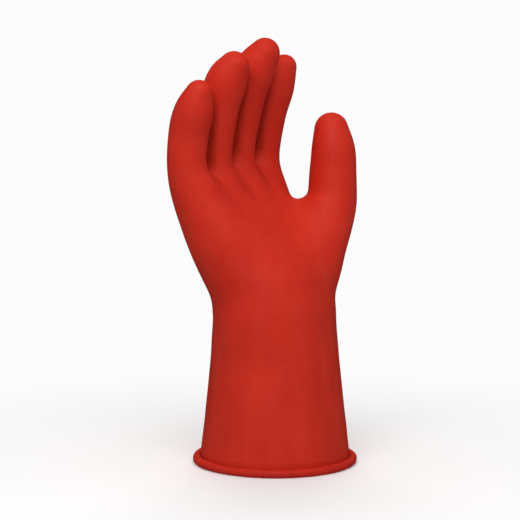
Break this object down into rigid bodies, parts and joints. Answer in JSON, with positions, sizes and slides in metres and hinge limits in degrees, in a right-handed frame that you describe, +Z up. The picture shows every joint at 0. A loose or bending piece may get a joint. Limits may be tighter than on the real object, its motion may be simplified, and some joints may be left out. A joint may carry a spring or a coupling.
{
  "type": "electrical insulating glove",
  "caption": "Right-hand electrical insulating glove of seamless red rubber, standing on its rolled cuff, with curled finger stalls that flex.",
  "frame": {"origin": "centre of the cuff opening, in the plane that the cuff's edge and bead rest on", "axes": "+Z up along the forearm to the fingertips, the palm faces -Y, the thumb is on the +X side"},
  "size_m": [0.1258, 0.1062, 0.2733],
  "materials": {
    "film_rubber": "satin dipped natural rubber, red",
    "bead_rubber": "satin dipped natural rubber, red, rolled"
  },
  "bodies": {
    "gauntlet": {"rolled_bead": "bead_rubber", "cuff": "film_rubber", "wrist_sleeve": "film_rubber"},
    "hand": {"palm": "film_rubber", "little_base": "film_rubber", "ring_base": "film_rubber", "middle_base": "film_rubber", "index_base": "film_rubber", "thumb_base": "film_rubber"},
    "little_finger": {"little_stall": "film_rubber"},
    "ring_finger": {"ring_stall": "film_rubber"},
    "middle_finger": {"middle_stall": "film_rubber"},
    "index_finger": {"index_stall": "film_rubber"},
    "thumb": {"thumb_stall": "film_rubber"}
  },
  "joints": [
    {"name": "wrist_flex", "type": "hinge", "parent": "gauntlet", "child": "hand", "pos_m": [0, 0, 0.092], "axis": [1, 0, 0], "range_deg": [-20, 20], "stiffness_Nm_per_rad": 1, "deforming": ["wrist_sleeve"]},
    {"name": "little_flex", "type": "hinge", "parent": "hand", "child": "little_finger", "pos_m": [-0.0515, 0.0326, 0.197], "axis": [1, 0, 0], "range_deg": [-10, 50], "stiffness_Nm_per_rad": 0.06, "deforming": ["little_base"]},
    {"name": "ring_flex", "type": "hinge", "parent": "hand", "child": "ring_finger", "pos_m": [-0.0246, 0.0308, 0.205], "axis": [1, 0, 0], "range_deg": [-10, 50], "stiffness_Nm_per_rad": 0.06, "deforming": ["ring_base"]},
    {"name": "middle_flex", "type": "hinge", "parent": "hand", "child": "middle_finger", "pos_m": [0.0024, 0.0305, 0.207], "axis": [1, 0, 0], "range_deg": [-10, 50], "stiffness_Nm_per_rad": 0.06, "deforming": ["middle_base"]},
    {"name": "index_flex", "type": "hinge", "parent": "hand", "child": "index_finger", "pos_m": [0.0294, 0.0281, 0.206], "axis": [1, 0, 0], "range_deg": [-10, 35], "stiffness_Nm_per_rad": 0.06, "deforming": ["index_base"]},
    {"name": "thumb_flex", "type": "hinge", "parent": "hand", "child": "thumb", "pos_m": [0.045, -0.0174, 0.18], "axis": [0, -1, 0], "range_deg": [-10, 20], "stiffness_Nm_per_rad": 0.08, "deforming": ["thumb_base"]}
  ]
}
